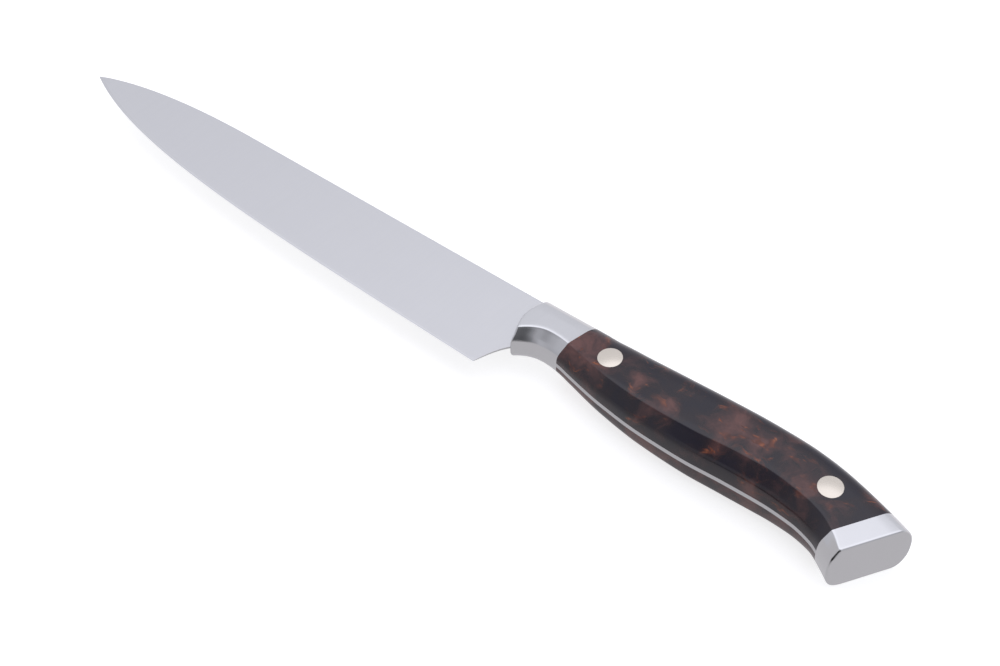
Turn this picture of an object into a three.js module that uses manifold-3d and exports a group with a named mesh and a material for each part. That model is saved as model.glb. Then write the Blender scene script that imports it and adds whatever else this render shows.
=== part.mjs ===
// A kitchen utility knife: a ground plate blade with a full tang, two welded bolster halves,
// two riveted scales and a butt cap. Millimetres, +Z up.
// It is drawn with x = 0 at the front of the bolster, the point towards -X, y = 0 along the spine,
// the edge towards -Y and z = 0 in the middle of the plate. The exported group lies on its right
// side, with its origin under the middle of its box.
import * as THREE from "three";
import { mergeVertices } from "three/addons/utils/BufferGeometryUtils.js";
import Module from "manifold-3d";

const wasm = await Module();
wasm.setup();

// Blade
const BLADE_LENGTH = 154.8; // point to bolster
const HEEL_HEIGHT = 25.9; // spine to edge at the heel
const HEEL_REACH = 4.9; // heel corner ahead of the bolster
const POINT_DROP = 7.5; // point below the line of the spine
const SPINE_FALL = 53.2; // length over which the spine falls to the point
const POINT_SPINE_ANGLE = 23.4; // degrees between spine and blade axis at the point
const POINT_EDGE_ANGLE = 29.1; // degrees between edge and blade axis at the point
const POINT_EDGE_PULL = 30.7; // how far the edge keeps the direction that it has at the point
const HEEL_EDGE_ANGLE = 1.8; // degrees between edge and blade axis at the heel
const HEEL_EDGE_PULL = 73.5; // how far the edge keeps the direction that it has at the heel
const NOTCH_HEEL_ANGLE = 70; // degrees, heel notch against the blade axis at the heel
const NOTCH_BOLSTER_ANGLE = 48; // degrees, heel notch against the blade axis at the bolster
const PLATE_THICKNESS = 1.4; // spine at the heel, and the whole tang
const EDGE_BEVEL_HEIGHT = 0.8; // sharpened bevel
const EDGE_BEVEL_THICKNESS = 0.3; // plate left where that bevel starts
const SPINE_EASING = 0.15; // broken corners of the spine
const POINT_SHARE = 0.3; // most of the height and half thickness that bevel and easing take near the point

// Handle
const HANDLE_LENGTH = 110.3; // bolster front to the end of the butt, along the blade axis
const BOLSTER_LENGTH = 16.6; // along the spine
const BOLSTER_SLANT = 16; // degrees, joint of bolster and scales against square
const BOLSTER_EASING = 0.6; // rounding of the bolster's front rim
const FRONT_BOW = 1.35; // how far the middle of the bolster's front stands ahead of its top and bottom
const FRONT_BOW_DEPTH = 9; // middle of that bow below the line of the spine
const FRONT_BOW_REACH = 7; // from its middle to its ends
const CAP_LENGTH = 5.8; // square to the butt's face
const BUTT_SLANT = 33.6; // degrees, butt face and cap joint against square
const BOLSTER_THICKNESS = 11; // at its front
const JOINT_THICKNESS = 12.6; // where bolster and scales meet
const GRIP_THICKNESS = 15.8; // between the flat sides
const BACK_FLAT = 0.3; // least width kept between the middle of the back and its rounding

// Lines of the handle as [place, size]. A place from 0 to 1 is on the bolster and from 1 to 2 on the grip.
const BACK_DEPTH = [
  [0, 0], [1, 0.25], [1.08, 0.8], [1.15, 0.85], [1.27, 0.55], [1.4, 0.02], [1.53, -0.31], [1.6, -0.2],
  [1.66, 0.06], [1.72, 0.71], [1.78, 1.75], [1.94, 6], [2, 7.97],
]; // back of the handle below the line of the spine
const BELLY_DEPTH = [
  [0, 17.2], [0.23, 14.5], [0.48, 13.75], [1, 15.2], [1.13, 18], [1.27, 19.6], [1.4, 19.95], [1.52, 19.45],
  [1.63, 19.25], [1.72, 19.85], [1.79, 21.55], [1.84, 24.3], [1.91, 28.9],
]; // belly below the line of the spine
const FACET_HEIGHT = [
  [0, 3.5], [0.5, 3.8], [1, 3.8], [1.08, 3.45], [1.14, 3.2], [1.27, 3.65], [1.4, 4.4], [1.53, 4.92],
  [1.6, 4.95], [1.66, 4.5], [1.72, 3.95], [1.78, 3.65], [1.84, 3.5], [1.885, 2.7], [2, 2.7],
]; // belly to the ridge where the flat side starts
const HALF_THICKNESS = [
  [0, BOLSTER_THICKNESS / 2], [1, JOINT_THICKNESS / 2], [1.045, 6.75], [1.14, 7.55],
  [1.3, GRIP_THICKNESS / 2], [2, GRIP_THICKNESS / 2],
];
const BELLY_HALF_WIDTH = [
  [0, 3], [1, 3.2], [1.08, 3.7], [1.2, 4.4], [1.34, 5.2], [1.46, 5.65], [1.53, 5.8], [1.6, 5.7], [1.72, 4.9],
  [1.78, 4.55], [1.88, 4.8], [2, 4.8],
]; // middle of the belly to its corner with the facet
const BELLY_ROUND = [
  [0, 0.4], [1, 0.3], [1.74, 0.4], [1.82, 0.7], [2, 0.7],
]; // how far the middle of the belly stands below its corners
const CORNER_ROUND = [
  [0, 1.3], [1, 1.2], [1.2, 0.9], [1.75, 0.9], [1.9, 1.2], [2, 1.2],
]; // rounding between corner facet and belly
const BACK_WIDTH = [
  [0, 5.2], [1, 5.6], [1.3, 6.3], [1.75, 6.6], [2, 7.3],
]; // half width of the oval rounding between flat side and back
const BACK_HEIGHT = [
  [0, 5.3], [1, 5.2], [1.3, 4.7], [1.75, 4.5], [2, 4.2],
]; // height of that rounding

// Rivets
const RIVET_HEAD_RADIUS = 3.175;
const RIVET_TUBE_RADIUS = 2.2;
const RIVET_PIN_RADIUS = 1.5;
const RIVET_HEAD_SEAT = 3.2; // underside of a head above the middle of the plate
const RIVET_PIN_SPARE = 0.6; // pin's end above the bottom of the tube
const FRONT_RIVET_PLACE = 25.05; // from the bolster's front
const FRONT_RIVET_DEPTH = 9.05;
const REAR_RIVET_PLACE = 21.68; // from the end of the butt
const REAR_RIVET_DEPTH = 10.3;

// Tail of the tang
const TONGUE_HEIGHT = 9;
const TONGUE_LENGTH = 3;

// Clearances
const GLUE_LINE = 0.05; // scales, bolster halves and cap against the plate and each other
const HOLE_CLEARANCE = 0.1; // round the rivets
const SLOT_CLEARANCE = 0.15; // round the tongue

// Fineness
const BLADE_STATIONS = 44;
const HANDLE_STATION = 1.8; // length between two sections of the handle
const ROUND_SIDES = 40;
const FILLET_STEPS = 6;
const BELLY_STEPS = 3;
const NOTCH_STEPS = 10;
const RIM_STEPS = 2;
const OVERSHOOT = 8; // how far a cutting shape runs past what it cuts
const BLADE_ROOT = 0.5; // how far the blade's shape runs on under the bolster
const TOLERANCE = 1e-4;

const radians = THREE.MathUtils.degToRad;
const origin = new THREE.Vector2();
const reach = 2 * (HANDLE_LENGTH + BLADE_LENGTH);
const STEEL = { color: 0xc9c9d0, metalness: 1 };
const BLADE_FINISH = { ...STEEL, roughness: 0.38 };
const POLISHED_FINISH = { ...STEEL, roughness: 0.14 };
const SCALE_FINISH = { color: 0x33211c, metalness: 0, roughness: 0.22 };
const RIVET_FINISH = { color: 0xd6cec8, metalness: 1, roughness: 0.26 };

// A closed three.js geometry as a solid that can be joined and cut.
function solid(geometry) {
  const bare = new THREE.BufferGeometry();
  bare.setAttribute("position", geometry.getAttribute("position"));
  bare.setIndex(geometry.index);
  const merged = mergeVertices(bare, TOLERANCE);
  const vertProperties = new Float32Array(merged.getAttribute("position").array);
  const triVerts = new Uint32Array(merged.index.array);
  return new wasm.Manifold(new wasm.Mesh({ numProp: 3, vertProperties, triVerts }));
}

// A named mesh of a finished solid.
function piece(name, body, finish) {
  const { vertProperties, triVerts } = body.getMesh();
  const geometry = new THREE.BufferGeometry();
  geometry.setAttribute("position", new THREE.BufferAttribute(vertProperties, 3));
  geometry.setIndex(new THREE.BufferAttribute(triVerts, 1));
  geometry.computeVertexNormals();
  const mesh = new THREE.Mesh(geometry, new THREE.MeshStandardMaterial(finish));
  mesh.name = name;
  return mesh;
}

// A smooth line through [place, size] points, read by the distance from the bolster's front.
// It doesn't swing past its points, and it runs on straight past its ends.
function lineThrough(points) {
  const grip = HANDLE_LENGTH - BOLSTER_LENGTH;
  const places = points.map(([place]) => {
    return Math.min(place, 1) * BOLSTER_LENGTH + Math.max(place - 1, 0) * grip;
  });
  const sizes = points.map(([, size]) => size);
  const last = points.length - 1;
  const rises = sizes.slice(1).map((size, i) => (size - sizes[i]) / (places[i + 1] - places[i]));
  const slopes = sizes.map((size, i) => {
    if (i === 0) return rises[0];
    if (i === last) return rises[last - 1];
    const turns = rises[i - 1] * rises[i] <= 0;
    return turns ? 0 : (2 * rises[i - 1] * rises[i]) / (rises[i - 1] + rises[i]);
  });
  return (x) => {
    if (x <= places[0]) return sizes[0] + slopes[0] * (x - places[0]);
    if (x >= places[last]) return sizes[last] + slopes[last] * (x - places[last]);
    const i = places.findLastIndex((place) => place <= x);
    const width = places[i + 1] - places[i];
    const t = (x - places[i]) / width;
    const s = 1 - t;
    const start = sizes[i] * (1 + 2 * t) + slopes[i] * width * t;
    const end = sizes[i + 1] * (1 + 2 * s) - slopes[i + 1] * width * s;
    return start * s * s + end * t * t;
  };
}

// A curve from one point to another that leaves and arrives along the given directions.
function bend(from, fromAngle, to, toAngle) {
  const leave = new THREE.Vector2(Math.cos(fromAngle), Math.sin(fromAngle));
  const arrive = new THREE.Vector2(Math.cos(toAngle), Math.sin(toAngle));
  const reach = to.clone().sub(from).cross(arrive) / leave.cross(arrive);
  return new THREE.QuadraticBezierCurve(from, from.clone().addScaledVector(leave, reach), to);
}

// The height of a curve at a place along x, where x falls steadily from the curve's start to its end.
function heightOf(curve, x) {
  let low = 0;
  let high = 1;
  while (curve.getPoint(low).x - curve.getPoint(high).x > TOLERANCE) {
    const middle = (low + high) / 2;
    if (curve.getPoint(middle).x > x) low = middle;
    else high = middle;
  }
  return curve.getPoint(low).y;
}

// A closed skin over rings of equal count, listed along +X, each a list of [x, y, z] that turns from the
// belly over the left side. A ring of one point closes that end to a tip.
function loft(rings) {
  const index = [];
  const starts = [];
  let total = 0;
  for (const ring of rings) {
    starts.push(total);
    total += ring.length;
  }
  const corner = (i, k) => starts[i] + (k % rings[i].length);
  for (let i = 0; i + 1 < rings.length; i += 1) {
    const count = Math.max(rings[i].length, rings[i + 1].length);
    for (let k = 0; k < count; k += 1) {
      if (rings[i + 1].length > 1) index.push(corner(i, k), corner(i + 1, k), corner(i + 1, k + 1));
      if (rings[i].length > 1) index.push(corner(i, k), corner(i + 1, k + 1), corner(i, k + 1));
    }
  }
  closeEnd(index, rings[0], 0, true);
  closeEnd(index, rings[rings.length - 1], starts[rings.length - 1], false);
  const geometry = new THREE.BufferGeometry();
  geometry.setAttribute("position", new THREE.Float32BufferAttribute(rings.flat(2), 3));
  geometry.setIndex(index);
  return solid(geometry);
}

// The end of a loft, closed by strips between the points that face each other across the ring.
function closeEnd(index, ring, start, first) {
  const count = ring.length;
  const turn = THREE.ShapeUtils.area(ring.map(([, y, z]) => new THREE.Vector2(y, z))) > 0;
  for (let k = 0; k < count - k - 1; k += 1) {
    const across = count - k;
    const strip = [[k + 1, across - 1, across % count], [k, k + 1, across]];
    for (const triangle of strip) {
      if (new Set(triangle).size < triangle.length || triangle.includes(count)) continue;
      const corner = triangle.map((point) => start + point);
      index.push(...(turn === first ? corner.reverse() : corner));
    }
  }
}

// A block between two corners.
function block(low, high) {
  const size = high.clone().sub(low);
  const geometry = new THREE.BoxGeometry(size.x, size.y, size.z);
  geometry.translate(...low.clone().addScaledVector(size, 0.5));
  return geometry;
}

const backDepth = lineThrough(BACK_DEPTH);
const bellyDepth = lineThrough(BELLY_DEPTH);
const facetHeight = lineThrough(FACET_HEIGHT);
const halfThickness = lineThrough(HALF_THICKNESS);
const bellyHalfWidth = lineThrough(BELLY_HALF_WIDTH);
const bellyRound = lineThrough(BELLY_ROUND);
const cornerRound = lineThrough(CORNER_ROUND);
const backWidth = lineThrough(BACK_WIDTH);
const backHeight = lineThrough(BACK_HEIGHT);

// How far the bolster's bowed front pushes a section towards the point. It fades out to the joint.
function frontBow(x, height) {
  const away = THREE.MathUtils.clamp((height + FRONT_BOW_DEPTH) / FRONT_BOW_REACH, -1, 1);
  const fade = Math.max(1 - x / BOLSTER_LENGTH, 0);
  return FRONT_BOW * fade * Math.cos((away * Math.PI) / 2) ** 2;
}

// One section of the handle's outer shape, drawn in by inset all round.
function handleSection(x, inset) {
  const half = halfThickness(x) - inset;
  const back = -backDepth(x) - inset;
  const belly = inset - bellyDepth(x);
  const width = Math.min(backWidth(x), half - BACK_FLAT);
  const height = backHeight(x);
  const ease = cornerRound(x);
  const ridge = new THREE.Vector2(belly + facetHeight(x), half);
  const corner = new THREE.Vector2(belly + bellyRound(x), bellyHalfWidth(x) - inset);
  const middle = new THREE.Vector2(belly, 0);
  const bellyPull = new THREE.Vector2(belly, corner.y / 2);
  const bellySide = corner.clone().add(bellyPull.clone().sub(corner).setLength(ease));
  const facetSide = corner.clone().add(ridge.clone().sub(corner).setLength(ease));
  const left = [
    ...new THREE.QuadraticBezierCurve(middle, bellyPull, bellySide).getPoints(BELLY_STEPS),
    ...new THREE.QuadraticBezierCurve(bellySide, corner, facetSide).getPoints(BELLY_STEPS).slice(1),
    ridge,
  ];
  for (let step = 0; step <= FILLET_STEPS; step += 1) {
    const angle = (Math.PI / 2) * (step / FILLET_STEPS);
    const rise = height * (Math.sin(angle) - 1);
    const out = width * (Math.cos(angle) - 1);
    left.push(new THREE.Vector2(back + rise, half + out));
  }
  left.push(new THREE.Vector2(back, 0));
  const right = left.slice(1, -1).reverse().map((point) => new THREE.Vector2(point.x, -point.y));
  return [...left, ...right].map((point) => [x - frontBow(x, point.x), point.x, point.y]);
}

// The outer shape that bolster, scales, tang and cap are ground to together.
function handleShape() {
  const rings = [];
  for (let step = 0; step <= RIM_STEPS; step += 1) {
    const angle = (Math.PI / 2) * (step / RIM_STEPS);
    const place = BOLSTER_EASING * (1 - Math.cos(angle));
    rings.push(handleSection(place, BOLSTER_EASING * (1 - Math.sin(angle))));
  }
  const end = HANDLE_LENGTH + OVERSHOOT;
  const count = Math.ceil((end - BOLSTER_EASING) / HANDLE_STATION);
  for (let step = 1; step <= count; step += 1) {
    rings.push(handleSection(BOLSTER_EASING + ((end - BOLSTER_EASING) * step) / count, 0));
  }
  return loft(rings);
}

// A block that starts at a slanted plane through a point of the back and reaches far towards +X or -X.
function beyond(backPoint, slant, offset, side) {
  const near = side > 0 ? offset : -reach;
  const far = side > 0 ? reach : offset;
  const geometry = block(new THREE.Vector3(near, -reach, -reach), new THREE.Vector3(far, reach, reach));
  geometry.rotateZ(-radians(slant));
  geometry.translate(backPoint.x, backPoint.y, 0);
  return solid(geometry);
}

// Everything between two heights over the middle of the plate.
function layer(low, high) {
  return solid(block(new THREE.Vector3(-reach, -reach, low), new THREE.Vector3(reach, reach, high)));
}

const handle = handleShape();
const plateHalf = PLATE_THICKNESS / 2;
const plateLayer = layer(-plateHalf, plateHalf);
const leftLayer = layer(plateHalf + GLUE_LINE, reach);
const rightLayer = layer(-reach, -plateHalf - GLUE_LINE);
const bolsterBack = new THREE.Vector2(BOLSTER_LENGTH, -backDepth(BOLSTER_LENGTH));
const buttBack = new THREE.Vector2(HANDLE_LENGTH, -backDepth(HANDLE_LENGTH));
const aheadOfJoint = beyond(bolsterBack, BOLSTER_SLANT, 0, -1);
const behindJoint = beyond(bolsterBack, BOLSTER_SLANT, GLUE_LINE, 1);
const aheadOfCap = beyond(buttBack, BUTT_SLANT, -CAP_LENGTH - GLUE_LINE, -1);
const capSlab = beyond(buttBack, BUTT_SLANT, -CAP_LENGTH, 1).intersect(beyond(buttBack, BUTT_SLANT, 0, -1));

// The blade, ground to one angle from spine to bevel.
function blade() {
  const heel = new THREE.Vector2(-HEEL_REACH, -HEEL_HEIGHT);
  const point = new THREE.Vector2(-BLADE_LENGTH, -POINT_DROP);
  const spineTurn = new THREE.Vector2(SPINE_FALL - BLADE_LENGTH, 0);
  const spineCurve = bend(spineTurn, Math.PI, point, Math.PI + radians(POINT_SPINE_ANGLE));
  const heelPull = new THREE.Vector2(-HEEL_EDGE_PULL, 0).rotateAround(origin, -radians(HEEL_EDGE_ANGLE));
  const pointPull = new THREE.Vector2(POINT_EDGE_PULL, 0).rotateAround(origin, -radians(POINT_EDGE_ANGLE));
  const edgeCurve = new THREE.CubicBezierCurve(heel, heelPull.add(heel), pointPull.add(point), point);
  const bevelHalf = EDGE_BEVEL_THICKNESS / 2;
  const grind = (plateHalf - bevelHalf) / (HEEL_HEIGHT - EDGE_BEVEL_HEIGHT);
  const rings = [];
  for (let step = 0; step < BLADE_STATIONS; step += 1) {
    const share = step / BLADE_STATIONS;
    const x = BLADE_ROOT - (BLADE_LENGTH + BLADE_ROOT) * share * (2 - share);
    const spine = x < spineTurn.x ? heightOf(spineCurve, x) : 0;
    const edge = x < heel.x ? heightOf(edgeCurve, x) : -HEEL_HEIGHT;
    const height = spine - edge;
    const bevel = Math.min(EDGE_BEVEL_HEIGHT, height * POINT_SHARE);
    const bevelSide = bevelHalf * (bevel / EDGE_BEVEL_HEIGHT);
    const spineSide = bevelSide + grind * (height - bevel);
    const easing = Math.min(SPINE_EASING, spineSide * POINT_SHARE);
    rings.push([
      [x, edge, 0],
      [x, edge + bevel, bevelSide],
      [x, spine - easing, spineSide - grind * easing],
      [x, spine, spineSide - easing],
      [x, spine, easing - spineSide],
      [x, spine - easing, grind * easing - spineSide],
      [x, edge + bevel, -bevelSide],
    ]);
  }
  rings.push([[point.x, point.y, 0]]);
  return loft(rings.reverse()).subtract(heelNotch(heel));
}

// What is cut away below the bolster and behind the heel.
function heelNotch(heel) {
  const guard = new THREE.Vector2(0, BOLSTER_EASING - bellyDepth(0));
  const sweep = bend(heel, radians(NOTCH_HEEL_ANGLE), guard, radians(NOTCH_BOLSTER_ANGLE));
  const outline = new THREE.Shape(sweep.getPoints(NOTCH_STEPS));
  outline.lineTo(OVERSHOOT, guard.y);
  outline.lineTo(OVERSHOOT, heel.y - OVERSHOOT);
  outline.lineTo(heel.x, heel.y - OVERSHOOT);
  const geometry = new THREE.ExtrudeGeometry(outline, { depth: 2 * PLATE_THICKNESS, bevelEnabled: false });
  geometry.translate(0, 0, -PLATE_THICKNESS);
  return solid(geometry);
}

// The tongue at the tail of the tang, grown on every side by clearance.
function tongue(clearance) {
  const slant = radians(BUTT_SLANT);
  const depthAlong = (x) => -(backDepth(x) + bellyDepth(x)) / 2;
  const square = (x) => (x - buttBack.x) * Math.cos(slant) - (depthAlong(x) - buttBack.y) * Math.sin(slant);
  let near = BOLSTER_LENGTH;
  let far = HANDLE_LENGTH;
  while (far - near > TOLERANCE) {
    const middle = (near + far) / 2;
    if (square(middle) < -CAP_LENGTH) near = middle;
    else far = middle;
  }
  const side = TONGUE_HEIGHT / 2 + clearance;
  const thick = plateHalf + clearance;
  const low = new THREE.Vector3(-TONGUE_LENGTH, -side, -thick);
  const high = new THREE.Vector3(TONGUE_LENGTH + clearance, side, thick);
  const geometry = block(low, high);
  geometry.rotateZ(-slant);
  geometry.translate(near, depthAlong(near), 0);
  return solid(geometry);
}

// A turned piece from [radius, height] points, standing at a place on the tang.
function turned(profile, place) {
  const points = profile.map(([radius, height]) => new THREE.Vector2(radius, height));
  const geometry = new THREE.LatheGeometry(points, ROUND_SIDES);
  geometry.rotateX(Math.PI / 2);
  geometry.translate(place.x, place.y, 0);
  return solid(geometry);
}

// Both halves of a cutlery rivet and the stepped hole that takes them.
function rivet(place) {
  const top = GRIP_THICKNESS / 2 + OVERSHOOT;
  const seat = RIVET_HEAD_SEAT;
  const bore = RIVET_PIN_RADIUS + HOLE_CLEARANCE;
  const hole = RIVET_TUBE_RADIUS + HOLE_CLEARANCE;
  const recess = RIVET_HEAD_RADIUS + HOLE_CLEARANCE;
  const pinEnd = RIVET_PIN_SPARE - seat;
  const male = [
    [0, pinEnd],
    [RIVET_PIN_RADIUS, pinEnd],
    [RIVET_PIN_RADIUS, seat],
    [RIVET_HEAD_RADIUS, seat],
    [RIVET_HEAD_RADIUS, top],
    [0, top],
  ];
  const female = [
    [0, -top],
    [RIVET_HEAD_RADIUS, -top],
    [RIVET_HEAD_RADIUS, -seat],
    [RIVET_TUBE_RADIUS, -seat],
    [RIVET_TUBE_RADIUS, seat - HOLE_CLEARANCE],
    [bore, seat - HOLE_CLEARANCE],
    [bore, -seat],
    [0, -seat],
  ];
  const stepped = [
    [0, -top - OVERSHOOT],
    [recess, -top - OVERSHOOT],
    [recess, -seat + GLUE_LINE],
    [hole, -seat + GLUE_LINE],
    [hole, seat - GLUE_LINE],
    [recess, seat - GLUE_LINE],
    [recess, top + OVERSHOOT],
    [0, top + OVERSHOOT],
  ];
  return {
    male: turned(male, place).intersect(handle),
    female: turned(female, place).intersect(handle),
    hole: turned(stepped, place),
  };
}

const front = rivet(new THREE.Vector2(FRONT_RIVET_PLACE, -FRONT_RIVET_DEPTH));
const rear = rivet(new THREE.Vector2(HANDLE_LENGTH - REAR_RIVET_PLACE, -REAR_RIVET_DEPTH));
const holes = front.hole.add(rear.hole);
const tang = handle.intersect(plateLayer).intersect(aheadOfCap).add(tongue(0)).subtract(holes);
const bolster = handle.intersect(aheadOfJoint);
const grip = handle.intersect(behindJoint).intersect(aheadOfCap).subtract(holes);
const cap = handle.intersect(capSlab).subtract(tongue(SLOT_CLEARANCE));

const knife = new THREE.Group();
knife.add(
  piece("blade_and_tang", tang.add(blade()), BLADE_FINISH),
  piece("bolster_left", bolster.intersect(leftLayer), POLISHED_FINISH),
  piece("bolster_right", bolster.intersect(rightLayer), POLISHED_FINISH),
  piece("scale_left", grip.intersect(leftLayer), SCALE_FINISH),
  piece("scale_right", grip.intersect(rightLayer), SCALE_FINISH),
  piece("front_rivet_male", front.male, RIVET_FINISH),
  piece("front_rivet_female", front.female, RIVET_FINISH),
  piece("rear_rivet_male", rear.male, RIVET_FINISH),
  piece("rear_rivet_female", rear.female, RIVET_FINISH),
  piece("butt_cap", cap, POLISHED_FINISH),
);
const box = new THREE.Box3().setFromObject(knife);
const middle = box.getCenter(new THREE.Vector3());
knife.position.set(-middle.x, -middle.y, -box.min.z);

const placed = new THREE.Group();
placed.add(knife);

export default placed;
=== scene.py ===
"""Kitchen utility knife: the looks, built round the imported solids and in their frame.

The knife lies on its right side. Pieces are worked out in millimetres, with x = 0 at the front of
the bolster, the point towards -X, y = 0 along the spine and z = 0 in the middle of the plate, and
are then moved into the frame of the solids, in metres.
"""

import logging
import math
from collections.abc import Callable, Sequence
from dataclasses import dataclass, replace
from enum import Enum
from functools import partial

import bmesh
import bpy
import numpy as np
from mathutils import Matrix, Vector


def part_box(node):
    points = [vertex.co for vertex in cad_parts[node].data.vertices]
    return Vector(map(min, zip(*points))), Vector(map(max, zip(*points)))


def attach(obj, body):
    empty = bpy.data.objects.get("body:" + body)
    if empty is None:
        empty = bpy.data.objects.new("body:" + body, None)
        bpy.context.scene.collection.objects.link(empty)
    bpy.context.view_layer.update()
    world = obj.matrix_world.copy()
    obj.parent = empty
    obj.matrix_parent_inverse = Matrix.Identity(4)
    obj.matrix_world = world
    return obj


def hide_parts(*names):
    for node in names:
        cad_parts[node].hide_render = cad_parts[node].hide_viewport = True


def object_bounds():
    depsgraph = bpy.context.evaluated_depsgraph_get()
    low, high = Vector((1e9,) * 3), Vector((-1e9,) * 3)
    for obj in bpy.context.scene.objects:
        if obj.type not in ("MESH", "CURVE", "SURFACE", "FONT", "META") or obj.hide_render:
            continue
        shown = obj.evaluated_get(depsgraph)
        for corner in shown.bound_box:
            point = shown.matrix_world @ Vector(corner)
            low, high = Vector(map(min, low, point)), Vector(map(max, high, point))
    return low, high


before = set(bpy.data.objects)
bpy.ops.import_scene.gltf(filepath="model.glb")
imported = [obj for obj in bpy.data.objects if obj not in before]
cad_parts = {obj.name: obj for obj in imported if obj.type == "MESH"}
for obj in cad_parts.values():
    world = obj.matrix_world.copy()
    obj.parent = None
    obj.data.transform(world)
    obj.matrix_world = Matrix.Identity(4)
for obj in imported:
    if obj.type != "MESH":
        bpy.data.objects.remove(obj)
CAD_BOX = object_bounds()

LOG = logging.getLogger("kitchen_knife")
BODY = "root"
MM = 0.001
HANDLE_LENGTH = 110.3
BOLSTER_LENGTH = 16.6
GRIP_LENGTH = HANDLE_LENGTH - BOLSTER_LENGTH
PLATE_HALF = 0.7
FRONT_RIVET = (25.05, -9.05)
REAR_RIVET = (HANDLE_LENGTH - 21.68, -10.3)
ROUND_SIDES = 128
MERGE_DISTANCE = 2e-7
RIM_STEPS = 6
RIM_ANGLE = 40

Piece = bpy.types.Object
Finish = bpy.types.Material
Colour = tuple[float, float, float, float]
Pair = tuple[float, float]
Place = tuple[float, float, float]
Stops = tuple[tuple[float, str], ...]


class Side(Enum):
    """The two sides of the knife, as the solids' names have them."""

    LEFT = "left"
    RIGHT = "right"


def drawing_origin() -> np.ndarray:
    """Finds the drawing's origin in the frame.

    Returns:
        The front of the bolster on the line of the spine, in the middle of the plate, in metres.
    """
    low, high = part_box("front_rivet_male")
    front = (low.x + high.x) / 2 - FRONT_RIVET[0] * MM
    spine = (low.y + high.y) / 2 - FRONT_RIVET[1] * MM
    return np.array([front, spine, (CAD_BOX[0].z + CAD_BOX[1].z) / 2])


ORIGIN = drawing_origin()


def linear(hex_colour: str) -> Colour:
    """Turns an sRGB hex colour into linear light.

    Args:
        hex_colour: Six hex digits.

    Returns:
        Red, green and blue in linear light, and an alpha of 1.
    """
    parts = [int(hex_colour[i : i + 2], 16) / 255 for i in (0, 2, 4)]
    red, green, blue = (c / 12.92 if c <= 0.04045 else ((c + 0.055) / 1.055) ** 2.4 for c in parts)
    return red, green, blue, 1.0


def add_node(
    tree: bpy.types.NodeTree,
    kind: str,
    inputs: dict[str | int, object] | Sequence[object] = (),
    stops: Stops = (),
    **settings: object,
) -> bpy.types.Node:
    """Adds a node with its settings and links.

    Args:
        tree: Node tree that takes the node.
        kind: Blender's name for the kind of node.
        inputs: A value, a socket, or a node for its first output, for each input in order, or for
            those inputs that a dict names or numbers.
        stops: Place and hex colour of each stop, where the node has a colour ramp.
        settings: The node's properties.

    Returns:
        The new node.
    """
    node = tree.nodes.new(kind)
    for name, value in settings.items():
        setattr(node, name, value)
    for name, value in inputs.items() if isinstance(inputs, dict) else enumerate(inputs):
        source = value.outputs[0] if isinstance(value, bpy.types.Node) else value
        if isinstance(source, bpy.types.NodeSocket):
            tree.links.new(source, node.inputs[name])
        else:
            node.inputs[name].default_value = source
    if stops:
        ramp = node.color_ramp.elements
        while len(ramp) < len(stops):
            ramp.new(1.0)
        for element, (place, colour) in zip(ramp, stops):
            element.position = place
            element.color = linear(colour)
    return node


def empty_tree(owner: Finish | bpy.types.World) -> Callable[..., bpy.types.Node]:
    """Gives a material or a world an empty node tree.

    Args:
        owner: The material or the world.

    Returns:
        add_node for that tree.
    """
    owner.use_nodes = True
    owner.node_tree.nodes.clear()
    return partial(add_node, owner.node_tree)


@dataclass(frozen=True)
class GroundSteel:
    """Stainless steel as it leaves a belt or a buffing wheel."""

    name: str
    colour: str
    roughness: float
    line_width: float
    line_length: float
    line_turn: float
    line_roughness: float
    line_height: float
    line_weight: float = 0.75
    line_shade: float = 0.95
    line_bump: float = 0.5
    cloud_size: float = 9.0
    pattern_span: Pair = (0.5, 1.25)

    def material(self) -> Finish:
        """Makes the finish.

        Returns:
            A metal with fine lines in its gloss, its colour and its surface.
        """
        material = bpy.data.materials.new(self.name)
        add = empty_tree(material)
        place = add("ShaderNodeTexCoord").outputs["Object"]
        across = 1 / (self.line_width * MM)
        along = 1 / (self.line_length * MM)
        turned = add("ShaderNodeMapping", {"Vector": place, "Rotation": (0, 0, self.line_turn)})
        drawn = add("ShaderNodeMapping", {"Vector": turned, "Scale": (across, along, along)})
        lines = add("ShaderNodeTexNoise", {"Vector": drawn, "Scale": 1, "Detail": 3, "Roughness": 0.6})
        clouds = add(
            "ShaderNodeTexNoise", {"Vector": place, "Scale": 1 / (self.cloud_size * MM), "Detail": 2}
        )
        mixed = add("ShaderNodeMath", (lines, self.line_weight, clouds), operation="MULTIPLY_ADD")
        least, most = self.roughness - self.line_roughness, self.roughness + self.line_roughness
        gloss = add("ShaderNodeMapRange", (mixed, *self.pattern_span, least, most))
        bright = linear(self.colour)
        shade = add(
            "ShaderNodeMix",
            {0: lines, 6: (*(c * self.line_shade for c in bright[:3]), 1), 7: bright},
            data_type="RGBA",
        )
        bump = add(
            "ShaderNodeBump", {"Height": lines, "Strength": self.line_bump, "Distance": self.line_height * MM}
        )
        shader = add(
            "ShaderNodeBsdfPrincipled",
            {"Base Color": shade.outputs[2], "Metallic": 1.0, "Roughness": gloss, "Normal": bump},
        )
        add("ShaderNodeOutputMaterial", {"Surface": shader})
        return material


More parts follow.
